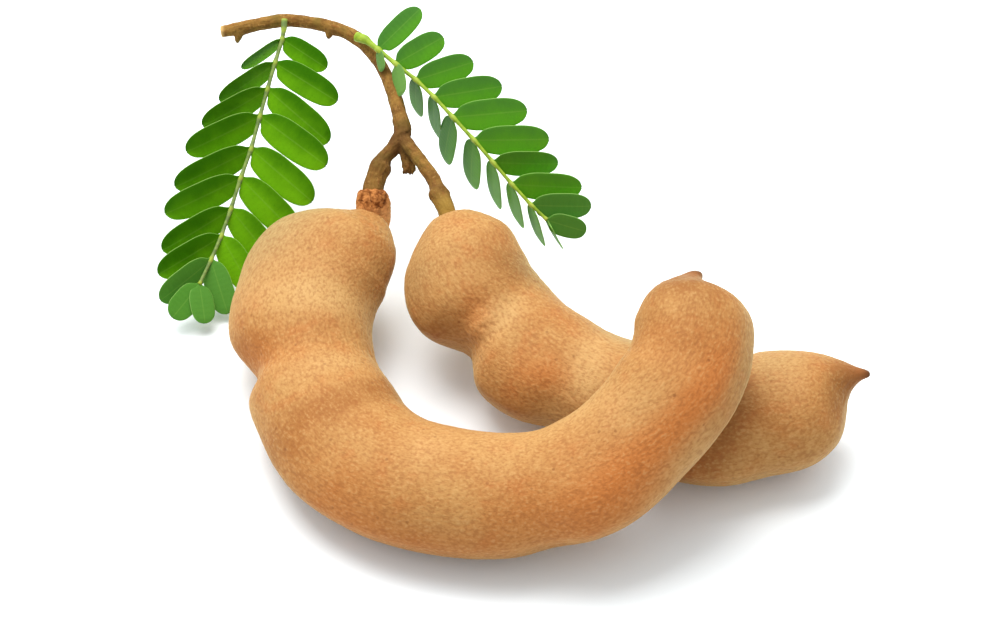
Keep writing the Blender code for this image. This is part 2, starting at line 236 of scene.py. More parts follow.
def pod_shell(rows, zones, seed, fold):
    """A pod's skin: a smooth loft, then a relief that only goes inwards from it. The fold says how far
    an outer waist stays a fold as it climbs from the pod's edge to its top."""
    gap, around = 0.38, 188             # mm between the rings of the mesh, and faces round one
    bend, seed_length = 5, 9            # mm to either side that a direction and a waist are judged by
    waist_depth = 0.9                   # mm, of a full waist
    tip_round, beak_length = 0.8, 8     # mm
    seam_wide, seam_high = 0.22, 0.035  # radians, and a share of the width
    rows, length = smooth_rows(rows, gap)
    places = frames(rows, round(bend / gap))
    last = len(rows) - 1
    girth = [(outer + inner + 2 * thick) / 4 for *_, outer, inner, thick in rows]
    reach = round(seed_length / gap)
    waist, full = [], []                # how much of a waist a row is, and its outer width without it
    for i, row in enumerate(rows):
        near = girth[max(0, i - reach):i + reach + 1]
        waist.append(clamp((sum(near) / len(near) - girth[i]) / waist_depth))
        sides = rows[max(0, i - reach):i + 1], rows[i:i + reach + 1]
        lower_side = min(sum(other[3] for other in part) / len(part) for part in sides)
        full.append(max(row[3], lower_side))

    def spot(i, j):
        middle, side, up = places[i]
        outer, inner, thick = rows[i][3:]
        run = length * i / last
        end = min(i, last - i) * length / last
        close = math.sqrt(max(0.0, 1 - max(0.0, 1 - end / tip_round) ** 2))
        turn = 2 * math.pi * j / around - math.pi / 2
        level, lift = math.cos(turn), math.sin(turn)
        width = inner
        if level > 0:
            climb = clamp(lift / 0.8)
            width = outer + (full[i] - outer) * (1 - fold) * climb * climb * (3 - 2 * climb)
        off_edge = min(abs((turn - edge + math.pi) % (2 * math.pi) - math.pi) for edge in (0, math.pi))
        seam = math.exp(-(off_edge / seam_wide) ** 2)
        radius = width * (1 + seam_high * seam)
        place = middle + (side * (radius * level) + up * (thick * lift)) * close
        degrees = math.degrees(turn)
        # Pale and warm skin from the zones, with the painted light, shade and sheen in them.
        pale = warm_and_painted_sheen = 0.0
        for at, wide, angle, wide_angle, paler_and_painted_light, warmer_and_painted_sheen in zones:
            off = (degrees - angle + 180) % 360 - 180
            share = math.exp(-((run - at) / wide) ** 2 - (off / wide_angle) ** 2)
            pale += paler_and_painted_light * share
            warm_and_painted_sheen += warmer_and_painted_sheen * share
        beak = clamp(1 - (length - run) / beak_length)
        return place, Vector((run, radius * level, thick * lift)), Vector((pale, warm_and_painted_sheen, beak))

    bm = with_layers(bmesh.new())
    add_shell(bm, last, around, spot)
    eased(bm, 6)
    bmesh.ops.recalc_face_normals(bm, faces=bm.faces)
    bm.normal_update()
    grain_layer, _ = layers_of(bm)
    shift = Vector((seed, seed * 2, 0))
    moves = []
    for vert in bm.verts:
        grain = vert[grain_layer]
        i = clamp(round(grain.x / length * last), 0, last)
        place = vert.co / MM
        lumps = 0.5 + 0.5 * noise.noise((place + shift) / 7)
        wrinkle = abs(ripple(grain, (3.4, 1.3, 1.3), shift))
        wrinkle += 0.5 * abs(ripple(grain, (1.6, 0.7, 0.7), shift))
        pebble = 0.5 + 0.5 * noise.noise(place / 0.62)
        # The skin sinks between its lumps and pebbles, and wrinkles most at the waists. The relief
        # fades where the pod is slim.
        relief = 0.28 * (lumps - 0.3) + (0.06 + 0.28 * waist[i]) * wrinkle + 0.08 * pebble
        depth = 0.05 + clamp((girth[i] - 0.6) / 6, 0.05) * relief
        moves.append(vert.normal * (-depth * MM))
    for vert, move in zip(bm.verts, moves):
        vert.co += move
        vert.co.z = max(vert.co.z, 0.0)
    return bm


def paint(red, green, blue):
    """A colour as it looks, 0 to 255, as the linear values that a shader takes."""
    parts = [c / 255 for c in (red, green, blue)]
    return tuple(c / 12.92 if c < 0.04045 else ((c + 0.055) / 1.055) ** 2.4 for c in parts) + (1,)


def add_node(tree, kind, settings=None, **inputs):
    """A shader node. An input's name has _ for its spaces, and takes a value or another output."""
    made = tree.nodes.new("ShaderNode" + kind)
    for name, value in (settings or {}).items():
        setattr(made, name, value)
    for name, value in inputs.items():
        plug(tree, made.inputs[name.replace("_", " ")], value)
    return made


def plug(tree, socket, value):
    """Gives a socket another node's output, or a value of its own."""
    if isinstance(value, bpy.types.NodeSocket):
        tree.links.new(value, socket)
    else:
        socket.default_value = value


def mixed(tree, share, first, second):
    """Two colours mixed: the share is the second one's. A mixing node has sockets of the same name for
    numbers, vectors and colours, so those for colours go by their number."""
    made = add_node(tree, "Mix", {"data_type": "RGBA"})
    for number, value in ((0, share), (6, first), (7, second)):
        plug(tree, made.inputs[number], value)
    return made.outputs[2]


def spread(tree, value, low, high, to_low=0.0, to_high=1.0):
    """A value's range from low to high, as one from to_low to to_high, eased at both ends."""
    made = add_node(tree, "MapRange", {"interpolation_type": "SMOOTHSTEP"}, Value=value, From_Min=low,
                    From_Max=high, To_Min=to_low, To_Max=to_high)
    return made.outputs["Result"]


def counted(tree, how, first, second):
    """Two values added, multiplied or the like."""
    made = add_node(tree, "Math", {"operation": how})
    plug(tree, made.inputs[0], first)
    plug(tree, made.inputs[1], second)
    return made.outputs[0]


def stretched(tree, where, size):
    """Coordinates whose unit is as long, wide and high as the size says, so a pattern's grains are."""
    return add_node(tree, "Mapping", Vector=where, Scale=[1 / mm for mm in size]).outputs["Vector"]


def clouds(tree, where, detail=2.0, rough=0.5):
    """Soft noise, from 0 to 1."""
    noise_node = add_node(tree, "TexNoise", Vector=where, Scale=1.0, Detail=detail, Roughness=rough)
    return noise_node.outputs["Fac"]


def cells(tree, where):
    """How far a spot is from the middle of its cell."""
    return add_node(tree, "TexVoronoi", Vector=where, Scale=1.0).outputs["Distance"]


def new_material(name, roughness, **shader_values):
    """A material, its nodes and shader, and what its patterns read: the place and the grain (mm) and
    the three values of the tone."""
    made = bpy.data.materials.new(name)
    made.use_nodes = True
    tree = made.node_tree
    shader = tree.nodes["Principled BSDF"]
    shader.inputs["Roughness"].default_value = roughness
    for key, value in shader_values.items():
        shader.inputs[key.replace("_", " ")].default_value = value
    metres = add_node(tree, "TexCoord").outputs["Object"]
    place = stretched(tree, metres, (MM, MM, MM))
    grain = add_node(tree, "Attribute", {"attribute_name": "grain"}).outputs["Vector"]
    tone = add_node(tree, "Attribute", {"attribute_name": "tone"}).outputs["Vector"]
    tone = add_node(tree, "SeparateXYZ", Vector=tone).outputs
    return made, tree, shader, place, grain, tone


def skin_material():
    """A ripe pod's skin: golden at the waists, orange-brown over the seeds, and pebbled all over, with
    painted light, shade and sheen laid on by its zones. Its tone: how pale, how warm, and how far into
    the beak."""
    made, tree, shader, place, grain, tone = new_material(
        "pod_skin", 0.7, Sheen_Weight=0.5, Sheen_Roughness=0.35, Sheen_Tint=paint(214, 204, 150),
        Specular_IOR_Level=0.2)
    wide = clouds(tree, stretched(tree, place, (13, 13, 13)), 2.0, 0.55)
    patch = clouds(tree, stretched(tree, place, (4.5, 4.5, 4.5)), 3.0, 0.6)
    colour = mixed(tree, spread(tree, wide, 0.35, 0.65), paint(171, 117, 62), paint(178, 130, 74))
    colour = mixed(tree, spread(tree, patch, 0.50, 0.70, 0.0, 0.5), colour, paint(172, 104, 50))
    colour = mixed(tree, spread(tree, patch, 0.46, 0.30, 0.0, 0.4), colour, paint(190, 146, 88))
    # The pale colour is the golden skin and painted light. The dull one, for a tone below 0, is painted
    # shade on the undersides and in the other pod's shadow, and darker skin elsewhere.
    pale = counted(tree, "MULTIPLY", tone["X"], spread(tree, patch, 0.30, 0.62, 0.7, 1.0))
    colour = mixed(tree, spread(tree, pale, 0.0, 1.0), colour, paint(192, 150, 94))
    colour = mixed(tree, spread(tree, pale, 0.0, -1.0), colour, paint(128, 82, 32))
    # The warm colour is the orange skin, and deepens the painted shade. The olive-tan one, for a tone
    # below 0, is a painted sheen along the edges seen edge-on.
    colour = mixed(tree, spread(tree, tone["Y"], 0.0, 1.0), colour, paint(188, 110, 50))
    colour = mixed(tree, spread(tree, tone["Y"], 0.0, -1.0), colour, paint(164, 136, 88))
    wander = add_node(tree, "VectorMath", {"operation": "ADD"})
    plug(tree, wander.inputs[0], stretched(tree, place, (0.70, 0.70, 0.70)))
    swirl = add_node(tree, "TexNoise", Vector=stretched(tree, place, (1.6, 1.6, 1.6)), Scale=1.0,
                     Detail=1.0)
    plug(tree, wander.inputs[1], swirl.outputs["Color"])
    pebble = cells(tree, wander.outputs["Vector"])
    streak = clouds(tree, stretched(tree, grain, (0.8, 0.5, 0.5)), 2.0, 0.6)
    tops = counted(tree, "ADD", counted(tree, "MULTIPLY", streak, 1.3),
                   counted(tree, "MULTIPLY", counted(tree, "SUBTRACT", 0.45, pebble), 0.45))
    colour = mixed(tree, spread(tree, tops, 0.35, 0.68, 0.38, 0.0), colour, paint(136, 76, 34))
    colour = mixed(tree, spread(tree, tops, 0.64, 0.98, 0.0, 0.28), colour, paint(206, 163, 108))
    speck = cells(tree, stretched(tree, place, (3.3, 3.3, 3.3)))
    colour = mixed(tree, spread(tree, speck, 0.05, 0.12, 0.4, 0.0), colour, paint(112, 62, 26))
    colour = mixed(tree, spread(tree, tone["Z"], 0.0, 0.8), colour, paint(140, 84, 40))
    colour = mixed(tree, spread(tree, tone["Z"], 0.7, 1.0), colour, paint(84, 46, 22))
    plug(tree, shader.inputs["Base Color"], colour)
    bump = add_node(tree, "Bump", Strength=0.5, Distance=0.0002, Height=tops)
    plug(tree, shader.inputs["Normal"], bump.outputs["Normal"])
    return made


pod_skin = skin_material()
front_shell = pod_shell(FRONT_POD, FRONT_ZONES, seed=3.0, fold=0.8)
add_piece("front_pod_skin", front_shell, "front_pod", "pod_skin", pod_skin)

# ---- Rear pod ----
# The second pod lies behind and to the right of the first, half hidden by its climbing end. Its seeds
# stand further apart, so its waists are deeper, and its beak is long, dry and dark.

REAR_POD = [
    (-12.9, 15.8, 25.0, 2.0, 2.2, 2.6),
    (-12.3, 14.4, 23.4, 5.0, 6.0, 5.5),
    (-11.2, 12.0, 21.4, 8.2, 9.6, 8.5),
    (-9.4, 6.6, 18.4, 11.9, 11.3, 10.2),
    (-7.0, 1.4, 15.8, 12.9, 11.9, 10.4),
    (-2.6, -3.0, 13.6, 8.6, 11.8, 9.4),
    (1.6, -7.2, 12.0, 13.0, 11.3, 9.9),
    (6.8, -11.2, 10.8, 13.2, 11.3, 10.0),
    (12.0, -14.6, 10.2, 10.6, 11.2, 9.6),
    (20.5, -19.0, 9.3, 11.2, 12.4, 9.6),
    (30.0, -22.9, 9.2, 12.9, 12.8, 9.5),
    (37.0, -24.0, 9.5, 13.4, 13.3, 9.8),
    (43.5, -23.8, 10.0, 11.8, 13.0, 9.7),
    (49.0, -22.6, 11.0, 12.0, 13.2, 9.6),
    (53.4, -21.0, 12.8, 10.4, 10.8, 8.8),
    (56.4, -19.8, 14.5, 7.4, 7.4, 6.9),
    (59.4, -19.2, 16.0, 3.3, 3.9, 3.4),
    (61.8, -19.1, 16.7, 1.3, 1.6, 1.4),
    (64.4, -19.2, 17.0, 0.5, 0.5, 0.5),
]
# The rear pod's zones, laid out as the front pod's, likewise partly painted light, shade and sheen.
REAR_ZONES = [
    (4, 6, 40, 60, 0.4, 0),
    (14, 6, 120, 45, -0.3, 0.2),
    (22, 7, 130, 35, -0.6, 0),
    (22, 5, 50, 30, 0, 0.5),
    (26, 4, 70, 40, 1.0, 0),
    (26, 4, 10, 35, 1.0, 0.4),
    (33, 5, 0, 25, 0.3, 0),
    (36, 6, 40, 25, -0.2, 0.3),
    (41, 5, 50, 22, 0, 0.4),
    (45, 5, 95, 35, 0.7, 0),
    (47, 5, 55, 25, 0.8, 0),
    (45, 5, 0, 30, 0.9, 0.1),
    # Painted shadow of the front pod's climbing end.
    (65, 7, 20, 70, -1.0, 0.5),
    # Painted shade beside the front pod's arm.
    (75, 4, 85, 30, -0.6, 0.1),
    (78, 10, -20, 30, 0.4, 0),
    (87, 6, 75, 35, 0.4, 0),
    (94, 5, 30, 50, -0.7, 0.2),
    (98, 4, 100, 120, -0.6, 0.1),
    # Painted sheen along the edges seen edge-on.
    (20, 10, 145, 35, 0, -0.7),
    (52, 14, 140, 30, 0, -0.8),
    (12, 8, 30, 40, 0, -0.4),
    (84, 12, 115, 40, 0, -0.5),
]

rear_shell = pod_shell(REAR_POD, REAR_ZONES, seed=11.0, fold=0.0)
add_piece("rear_pod_skin", rear_shell, "rear_pod", "pod_skin", pod_skin)

# ---- Twig ----
# A thin woody twig arches over from its cut end and forks to the two stalks. Its bark is rough and
# scaly, darker at the fork and at the swellings, with a broken stub and two short spurs.

# Each row: the middle of the stem (x, y, z), then its radius.
MAIN_STEM = [
    (-57.9, 60.0, 32.0, 1.25),
    (-54.2, 60.2, 32.6, 1.50),
    (-49.8, 61.0, 33.2, 1.45),
    (-45.3, 61.6, 33.5, 1.50),
    (-40.3, 60.8, 33.6, 1.40),
    (-36.4, 59.7, 33.4, 1.50),
    (-32.4, 57.9, 33.0, 1.50),
    (-29.2, 55.4, 32.2, 1.55),
    (-26.3, 50.7, 31.4, 1.40),
    (-23.8, 44.6, 30.0, 1.50),
    (-22.2, 38.4, 28.4, 1.65),
    (-21.7, 34.9, 27.3, 1.90),
    (-23.5, 31.9, 26.0, 1.60),
    (-25.1, 30.3, 24.8, 1.75),
    (-25.7, 29.3, 24.0, 2.30),
    (-26.4, 27.6, 23.2, 2.15),
    (-26.9, 26.2, 22.5, 2.15),
    (-27.2, 24.6, 21.8, 2.20),
    (-27.2, 23.4, 21.0, 2.00),
]
REAR_STALK = [
    (-21.9, 34.2, 27.0, 1.60),
    (-19.9, 30.6, 26.9, 1.50),
    (-17.2, 26.0, 26.6, 1.45),
    (-15.3, 22.4, 26.1, 1.50),
    (-14.8, 20.8, 25.8, 1.60),
    (-14.5, 19.9, 25.6, 2.20),
    (-13.9, 18.2, 25.3, 1.95),
    (-13.1, 16.0, 24.8, 1.90),
    (-12.4, 14.0, 23.6, 1.80),
]
FORK_STUB = [
    (-21.4, 33.0, 26.6, 1.60),
    (-20.9, 31.5, 25.6, 1.50),
    (-20.5, 30.0, 24.4, 1.45),
    (-20.4, 28.4, 23.2, 1.45),
]
LEFT_SPUR = [
    (-54.2, 60.0, 32.4, 1.20),
    (-54.6, 58.6, 31.0, 0.75),
    (-54.7, 58.1, 30.5, 0.35),
]
RIGHT_SPUR = [
    (-36.4, 59.5, 33.2, 1.20),
    (-36.6, 58.4, 32.1, 0.75),
    (-36.6, 58.0, 31.7, 0.35),
]


def add_stem(bm, rows, gap, around, inset, material=0):
    """A round stem through its rows, slimmer by the inset and closed with a flat end at either side."""
    rows, length = smooth_rows(rows, gap)
    places = frames(rows)
    last = len(rows) - 1

    def spot(i, j):
        at = clamp(i - 1, 0, last)
        middle, side, up = places[at]
        turn = 2 * math.pi * j / around
        radius = (rows[at][3] - inset) * (0 < i < last + 2)
        ray = side * math.cos(turn) + up * math.sin(turn)
        grain = Vector((length * at / last, radius * math.cos(turn), radius * math.sin(turn)))
        return middle + ray * radius, grain, Vector()

    add_shell(bm, last + 2, around, spot, material)


def remeshed(bm, voxel):
    """One closed skin round the shells of a bmesh, with even faces of the voxel's size in mm."""
    mesh = bpy.data.meshes.new("rough")
    bm.to_mesh(mesh)
    bm.free()
    rough = bpy.data.objects.new("rough", mesh)
    bpy.context.scene.collection.objects.link(rough)
    remesh = rough.modifiers.new("Skin", "REMESH")
    remesh.mode = "VOXEL"
    remesh.voxel_size = voxel * MM
    graph = bpy.context.evaluated_depsgraph_get()
    skin = rough.evaluated_get(graph).to_mesh()
    made = bmesh.new()
    made.from_mesh(skin)
    bpy.data.objects.remove(rough)
    bpy.data.meshes.remove(mesh)
    with_layers(made)
    for face in made.faces:
        face.smooth = True
    made.normal_update()
    return made


def nearness(place, centre, reach):
    """How near a place is to a centre: 1 there, and fading over the reach (mm)."""
    return math.exp(-((place - centre).length / (reach * MM)) ** 2)


stems = (MAIN_STEM, REAR_STALK, FORK_STUB, LEFT_SPUR, RIGHT_SPUR)
twig = with_layers(bmesh.new())
for rows in stems:
    add_stem(twig, rows, gap=0.5, around=24, inset=0.12)
twig = remeshed(twig, 0.16)
eased(twig, 4)

# Every spot of the bark knows how far along its stem it lies, and on which side.
path = []
for rows in stems:
    rows, length = smooth_rows(rows, 0.4)
    path += [(place, length * i / (len(rows) - 1)) for i, place in enumerate(frames(rows))]
path_finder = kdtree.KDTree(len(path))
for i, ((middle, _, _), _) in enumerate(path):
    path_finder.insert(placed(middle), i)
path_finder.balance()

# The bark is darker at the fork and at each swelling. Each row: the middle of the dark spot, how far
# it reaches (mm), and how dark it is.
FORK = placed((-21.9, 33.6, 26.6))
CUT_END = placed(MAIN_STEM[0])
POD_END = placed(REAR_STALK[7])
STUB_END = placed(FORK_STUB[3])
DARK_SPOTS = [
    (FORK, 4.2, 1.0),
    (placed(MAIN_STEM[14]), 2.6, 0.8),
    (placed(MAIN_STEM[17]), 2.6, 0.6),
    (placed(REAR_STALK[5]), 2.6, 0.7),
    (STUB_END, 2.6, 0.3),
]
grain_layer, tone_layer = layers_of(twig)
for vert in twig.verts:
    (middle, side, up), run = path[path_finder.find(vert.co)[1]]
    off = vert.co / MM - HOME - middle
    grain = Vector((run, off.dot(side), off.dot(up)))
    dark = sum(share * nearness(vert.co, centre, reach) for centre, reach, share in DARK_SPOTS)
    olive = nearness(vert.co, POD_END, 2.8)
    cut = clamp(1.2 - (vert.co.x - CUT_END.x) / (0.7 * MM))
    vert[grain_layer] = grain
    vert[tone_layer] = Vector((min(1.0, dark), cut, olive))
    furrow = abs(ripple(grain, (2.6, 0.7, 0.7)))
    scale = ripple(grain, (1.1, 0.9, 0.9), Vector((7, 3, 1)))
    knob = noise.noise(vert.co / MM / 1.9)
    lift = 0.10 * knob + 0.07 * scale - 0.16 * furrow
    torn = nearness(vert.co, STUB_END, 1.1)
    lift += 1.2 * torn * noise.noise(vert.co / MM / 0.6)
    vert.co += vert.normal * (lift * (1 + dark) * MM)


def bark_material():
    """Brown bark with ochre and olive patches, dark cracks, and pale wood where the twig was cut. Its
    tone: how dark, how near the cut end, and how near the rear pod."""
    made, tree, shader, place, grain, tone = new_material("twig_bark", 0.85, Specular_IOR_Level=0.2)
    patch = clouds(tree, stretched(tree, place, (2.6, 2.6, 2.6)), 3.0, 0.6)
    streak = clouds(tree, stretched(tree, grain, (2.2, 0.5, 0.5)), 3.0, 0.6)
    fleck = clouds(tree, stretched(tree, place, (0.55, 0.55, 0.55)), 2.0, 0.6)
    colour = mixed(tree, spread(tree, patch, 0.35, 0.62), paint(112, 76, 28), paint(142, 104, 46))
    colour = mixed(tree, spread(tree, streak, 0.52, 0.75, 0.0, 0.8), colour, paint(138, 80, 38))
    colour = mixed(tree, spread(tree, streak, 0.42, 0.28, 0.0, 0.7), colour, paint(84, 50, 20))
    colour = mixed(tree, spread(tree, fleck, 0.56, 0.72, 0.0, 0.6), colour, paint(170, 130, 72))
    colour = mixed(tree, spread(tree, fleck, 0.42, 0.28, 0.0, 0.5), colour, paint(88, 54, 24))
    moss = clouds(tree, stretched(tree, place, (5, 5, 5)), 2.0)
    colour = mixed(tree, spread(tree, moss, 0.52, 0.66, 0.0, 0.6), colour, paint(112, 92, 34))
    colour = mixed(tree, tone["Z"], colour, paint(154, 122, 50))
    colour = mixed(tree, counted(tree, "MULTIPLY", tone["X"], 0.85), colour, paint(74, 44, 18))
    colour = mixed(tree, tone["Y"], colour, paint(208, 168, 106))
    plug(tree, shader.inputs["Base Color"], colour)
    height = counted(tree, "ADD", streak, counted(tree, "MULTIPLY", fleck, 0.6))
    bump = add_node(tree, "Bump", Strength=0.6, Distance=0.0003, Height=height)
    plug(tree, shader.inputs["Normal"], bump.outputs["Normal"])
    return made


add_piece("twig_bark", twig, "twig", "bark", bark_material())

# ---- Front collar ----
# The dried flower base that holds the front pod to its stalk. It is a soft, reddish, cracked ring,
# which grew round the stalk and sits on the pod's shoulder.

COLLAR = [
    (-27.2, 24.5, 21.9, 2.40),
    (-27.2, 24.1, 21.6, 3.05),
    (-27.2, 23.2, 20.9, 3.35),
    (-27.1, 22.2, 19.8, 3.45),
    (-27.0, 21.3, 18.4, 3.40),
    (-27.0, 20.5, 16.8, 3.10),
    (-27.1, 19.9, 15.4, 2.30),
]
CRACKED_DOWN_TO = 22.0                  # below this height the collar is paler and smoother (mm)
collar = with_layers(bmesh.new())
add_stem(collar, COLLAR, gap=0.12, around=96, inset=0.05)
_, tone_layer = layers_of(collar)
collar.normal_update()
for vert in collar.verts:
    spot = vert.co / MM
    crack = 1 - min(1.0, abs(ripple(spot, (1.1, 2.2, 2.2))) / 0.09)
    crumb = 0.5 + 0.5 * noise.noise(spot / 0.35)
    lump = noise.noise(spot / 1.5)
    low = clamp((CRACKED_DOWN_TO - spot.z) / 2.5)
    crack *= 1 - low
    vert[tone_layer] = Vector((crack, crumb, low))
    vert.co += vert.normal * ((0.4 * lump * (1 - low) - 0.22 * crack - 0.20 * crumb) * MM)


def calyx_material():
    """Dry, rusty tissue with dark cracks and a paler foot. Its tone: cracks, crumbs and the foot."""
    made, tree, shader, place, _, tone = new_material("dry_calyx", 0.9, Specular_IOR_Level=0.15)
    patch = clouds(tree, stretched(tree, place, (1.0, 1.0, 1.0)), 3.0, 0.6)
    colour = mixed(tree, spread(tree, patch, 0.35, 0.65), paint(120, 66, 26), paint(186, 120, 64))
    colour = mixed(tree, tone["Z"], colour, paint(220, 158, 98))
    colour = mixed(tree, spread(tree, tone["X"], 0.25, 0.9, 0.0, 0.85), colour, paint(78, 36, 18))
    plug(tree, shader.inputs["Base Color"], colour)
    bump = add_node(tree, "Bump", Strength=0.6, Distance=0.0003,
                    Height=clouds(tree, stretched(tree, place, (0.4, 0.4, 0.4)), 2.0))
    plug(tree, shader.inputs["Normal"], bump.outputs["Normal"])
    return made


add_piece("collar_tissue", collar, "front_collar", "calyx", calyx_material())

# ---- Left leaf ----
# A feather-shaped leaf that hangs from the twig. Its leaflets are thin, smooth and blunt, and sit in
# pairs on a slim stem, each on a small yellowish joint.

LEFT_STEM = [
    (-45.3, 60.6, 34.6, 0.62),
    (-45.4, 58.8, 33.4, 0.60),
    (-45.7, 57.4, 32.2, 0.55),
    (-47.0, 53.0, 29.8, 0.52),
    (-48.4, 48.6, 26.8, 0.50),
    (-49.8, 44.2, 23.6, 0.50),
    (-51.4, 38.7, 20.0, 0.50),
    (-53.3, 33.8, 16.8, 0.50),
    (-55.1, 28.6, 13.4, 0.48),
    (-56.8, 23.7, 10.8, 0.46),
    (-58.6, 19.2, 8.8, 0.45),
    (-60.6, 14.2, 7.0, 0.42),
]
# A leaflet's row: sweep from the leaf stem, droop away from the leaf's face, twist about its own
# length (degrees), then length and width. The rows run from the twig to the tip of the leaf.
LEFT_LEAF_LEFT = [
    (38, 5, 74, 9.9, 4.2),
    (38, 5, 60, 13.2, 5.5),
    (44, 5, 48, 14.6, 5.9),
    (49, 5, 38, 16.0, 6.2),
    (46, 5, 40, 16.6, 6.2),
    (46, 5, 37, 16.3, 6.2),
    (40, 5, 40, 15.5, 6.1),
    (37, 5, 42, 14.2, 5.9),
    (26, 5, 40, 12.6, 5.4),
    (14, 5, 10, 8.4, 5.0),
]
LEFT_LEAF_RIGHT = [
    (71, 5, 14, 10.4, 4.5),
    (74, 5, 14, 14.3, 5.5),
    (64, 5, 14, 15.8, 6.1),
    (68, 5, 14, 16.1, 6.4),
    (66, 8, 14, 15.7, 6.4),
    (63, 12, 14, 15.4, 6.2),
    (58, 16, 14, 13.8, 5.9),
    (51, 16, 14, 12.0, 5.6),
    (40, 10, 14, 11.0, 5.2),
    (32, 5, -8, 7.8, 4.6),
]
# The outline of a leaflet one unit long and one unit wide. Each row gives how far along its near
# edge, its midrib and its far edge stand, and how far the two edges stand out from the midrib.
LEAFLET_OUTLINE = [
    (-0.03, -0.03, -0.03, 0.06, 0.06),
    (0.03, 0.04, 0.06, 0.13, 0.17),
    (0.11, 0.12, 0.12, 0.32, 0.38),
    (0.27, 0.28, 0.27, 0.46, 0.50),
    (0.50, 0.50, 0.48, 0.50, 0.53),
    (0.72, 0.72, 0.70, 0.49, 0.50),
    (0.86, 0.86, 0.85, 0.41, 0.42),
    (0.94, 0.935, 0.94, 0.29, 0.30),
    (0.98, 0.975, 0.98, 0.17, 0.17),
    (1.0, 0.995, 1.0, 0.04, 0.04),
]
LEAF_FACE = Vector((0, -1, 1))      # both leaves turn their upper sides this way

outline, _ = smooth_rows([(row[1], 0, 0, *row) for row in LEAFLET_OUTLINE], 0.02)
outline = [row[3:] for row in outline]


def add_leaflet(bm, root, along, side, face, row, shade, vein_shift):
    """A thin blade, cupped, with a groove over its midrib and a ridge under it."""
    thickness, sharpness = 0.17, 0.6    # mm to either side, and below 1 for blunt edges
    rib_wide = 0.12                     # a share of half the width
    groove, ridge = 0.03, 0.09          # mm
    cup, bow = 0.07, 0.05               # how far the edges rise and the tip sinks, as shares
    sweep, droop, twist = (math.radians(angle) for angle in row[:3])
    length, width = row[3:]
    flat = along * math.cos(sweep) + side * math.sin(sweep)
    axis = flat * math.cos(droop) - face * math.sin(droop)
    across = side * math.cos(sweep) - along * math.sin(sweep)
    normal = axis.cross(across)
    if normal.dot(face) < 0:
        normal.negate()
    near = across * math.cos(twist) + normal * math.sin(twist)
    normal = normal * math.cos(twist) - across * math.sin(twist)
    last, around = len(outline) - 1, 28

    def spot(i, j):
        near_x, mid_x, far_x, near_y, far_y = outline[i]
        turn = 2 * math.pi * j / around
        w, top = math.cos(turn), math.sin(turn)
        edge_x, edge_y = (near_x, near_y) if w > 0 else (far_x, far_y)
        x = mid_x + (edge_x - mid_x) * abs(w) ** 1.5
        y = edge_y * w
        thin = min(1.0, i / 2, (last - i) / 5)      # thinner at the foot and towards the tip
        thick = thickness * abs(top) ** sharpness * thin
        rib = math.exp(-(w / rib_wide) ** 2) * (1 - 0.6 * x) * thin
        lift = thick * (1 if top > 0 else -1) - rib * (groove if top > 0 else ridge)
        lift += cup * width * y * y - bow * length * x * abs(x)
        place = root + axis * (x * length) + near * (y * width) + normal * lift
        return place, Vector((x * length, w * edge_y * width, vein_shift)), Vector((shade, w, top))

    add_shell(bm, last, around, spot)


def leaf(stem_rows, left_rows, right_rows, lights, seed):
    """A leaf stem with a pair of leaflets at each row from the third on. The lights are, for the left
    leaflets and for the right ones, the painted light and shade of their green: at the twig, further
    out, and on the two pairs at the tip of the leaf. It goes from 0 (painted shade) to 1 (painted
    light). Below 0 the upper side takes a painted shade of duller bluish green, and near -1 the
    underside is painted dark."""
    draw = random.Random(seed)
    bm = with_layers(bmesh.new())
    stem_last = len(stem_rows) - 1
    pairs = len(stem_rows) - 2
    joint_swell, between_slim = 1.12, 0.86      # the stem's thickness at a joint and between two
    swollen = []
    for i, row in enumerate(stem_rows):
        swollen.append((*row[:3], row[3] * (joint_swell if i > 1 else 1)))
        if 0 < i < stem_last:
            for share in (0.2, 0.8):
                spot = [a + (b - a) * share for a, b in zip(row, stem_rows[i + 1])]
                swollen.append((*spot[:3], spot[3] * between_slim))
    add_stem(bm, swollen, gap=0.35, around=16, inset=0.03, material=1)
    joints = [placed(row) for row in stem_rows]
    _, tone_layer = layers_of(bm)
    for vert in bm.verts:
        vert[tone_layer] = Vector((max(nearness(vert.co, joint, 0.9) for joint in joints), 0, 0))
    for i in range(pairs):
        near_rows = [stem_rows[min(at, stem_last)] for at in (i + 1, i + 2, i + 3)]
        before, root, after = (Vector(row[:3]) for row in near_rows)
        along = (after - before).normalized()
        face = (LEAF_FACE - along * LEAF_FACE.dot(along)).normalized()
        side = face.cross(along)
        for turn, rows, (first, final, tip) in zip((-1, 1), (left_rows, right_rows), lights):
            # Each leaflet's painted light and shade, with a little random tone.
            shade = tip if i >= pairs - 2 else first + (final - first) * i / (pairs - 3)
            shade += 0.08 * (draw.random() - 0.5)
            vein_shift = draw.random() * 90
            add_leaflet(bm, root, along, side * turn, face, rows[i], shade, vein_shift)
    return bm


